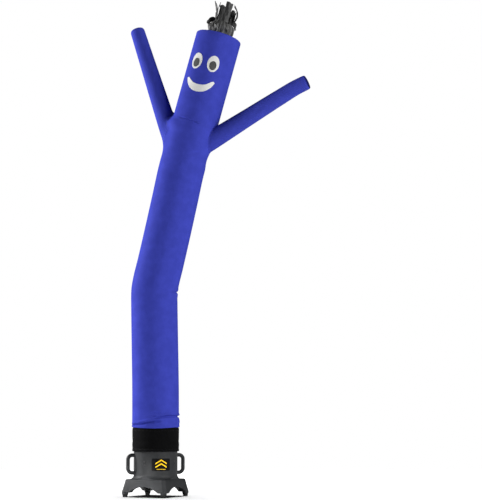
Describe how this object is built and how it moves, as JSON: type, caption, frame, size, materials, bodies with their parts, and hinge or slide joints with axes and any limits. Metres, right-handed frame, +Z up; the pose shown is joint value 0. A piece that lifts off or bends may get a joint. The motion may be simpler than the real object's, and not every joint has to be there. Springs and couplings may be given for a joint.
{
  "type": "inflatable air dancer on a blower",
  "caption": "Inflatable cloth tube figure with two open arms, smiling face and hair tuft, standing bent on the round outlet of a square-based floor blower.",
  "frame": {"origin": "on the floor, under the middle of the whole model's box; the blower's axis stands at x -0.397, y 0.016", "axes": "+Z up, +X to the right of the picture's viewer, -Y towards the viewer"},
  "size_m": [1.2263, 0.5663, 3.2862],
  "materials": {
    "cloth_blue": "royal blue coated nylon, plain weave, soft sheen",
    "cloth_black": "matt black heavy nylon",
    "hair_cloth": "thin crumpled black nylon, slightly sheer",
    "cloth_white": "white nylon patch",
    "cloth_grey": "dark grey nylon patch",
    "housing_plastic": "charcoal moulded plastic with a pebble grain",
    "grip_tape": "ribbed black hook tape",
    "foot_rubber": "matt black rubber",
    "screw_steel": "blackened steel",
    "label_film": "black plastic film"
  },
  "bodies": {
    "root": {"body_tube": "cloth_blue", "head": "cloth_blue", "head_cap": "cloth_blue", "arm_left": "cloth_blue", "arm_right": "cloth_blue", "base_sleeve": "cloth_black", "eye_left": "cloth_white", "eye_right": "cloth_white", "mouth": "cloth_white", "pupil_left": "cloth_grey", "pupil_right": "cloth_grey", "hair_bunch": "hair_cloth", "hair_strips": "hair_cloth", "blower_housing": "housing_plastic", "grip_band": "grip_tape", "foot_front": "foot_rubber", "foot_right": "foot_rubber", "foot_back": "foot_rubber", "foot_left": "foot_rubber", "screw_front_right_low": "screw_steel", "screw_front_right_high": "screw_steel", "screw_back_right_low": "screw_steel", "screw_back_right_high": "screw_steel", "screw_back_left_low": "screw_steel", "screw_back_left_high": "screw_steel", "screw_front_left_low": "screw_steel", "screw_front_left_high": "screw_steel", "label": "label_film"}
  },
  "joints": []
}
